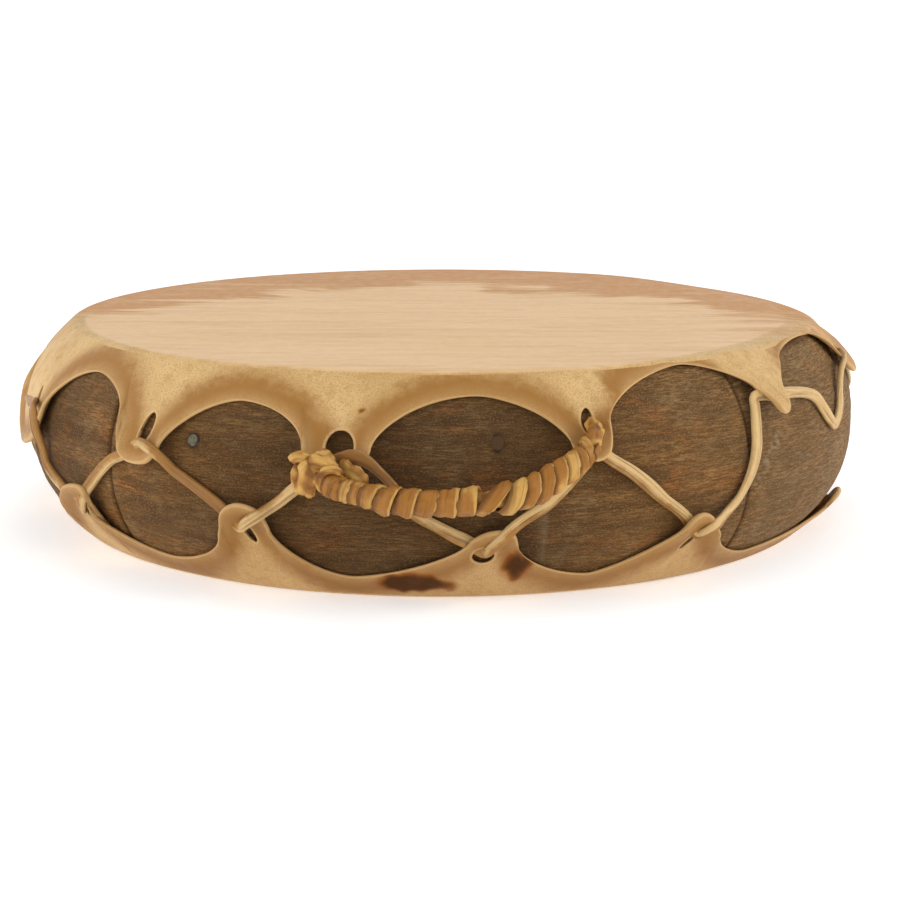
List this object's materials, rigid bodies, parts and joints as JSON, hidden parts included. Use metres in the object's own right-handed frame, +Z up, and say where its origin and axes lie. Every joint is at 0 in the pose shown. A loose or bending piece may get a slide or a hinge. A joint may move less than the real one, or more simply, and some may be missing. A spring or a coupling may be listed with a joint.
{
  "type": "ceremonial ritual drum",
  "caption": "Low two-headed frame drum: bulging wooden ring, rawhide heads with scalloped laced edges, and a wrapped side grip.",
  "frame": {"origin": "centre of the underside of the bottom head, where the drum rests", "axes": "+Z up, square to both heads; -Y towards the grip; +X to the right as the grip is faced"},
  "size_m": [0.4662, 0.4886, 0.1073],
  "materials": {
    "wood": "dark, worn, horizontal grain",
    "rawhide": "dried rawhide, semi-matt, stained towards the cut edges",
    "thong": "twisted rawhide strip, glossy on its ridges",
    "iron": "dull, rusted round the edge"
  },
  "bodies": {
    "root": {"shell_front": "wood", "shell_right": "wood", "shell_back": "wood", "shell_left": "wood", "head_top": "rawhide", "head_bottom": "rawhide", "lacing": "thong", "grip_core": "thong", "grip_wrap": "thong", "nail_left": "iron", "nail_right": "iron"}
  },
  "joints": []
}
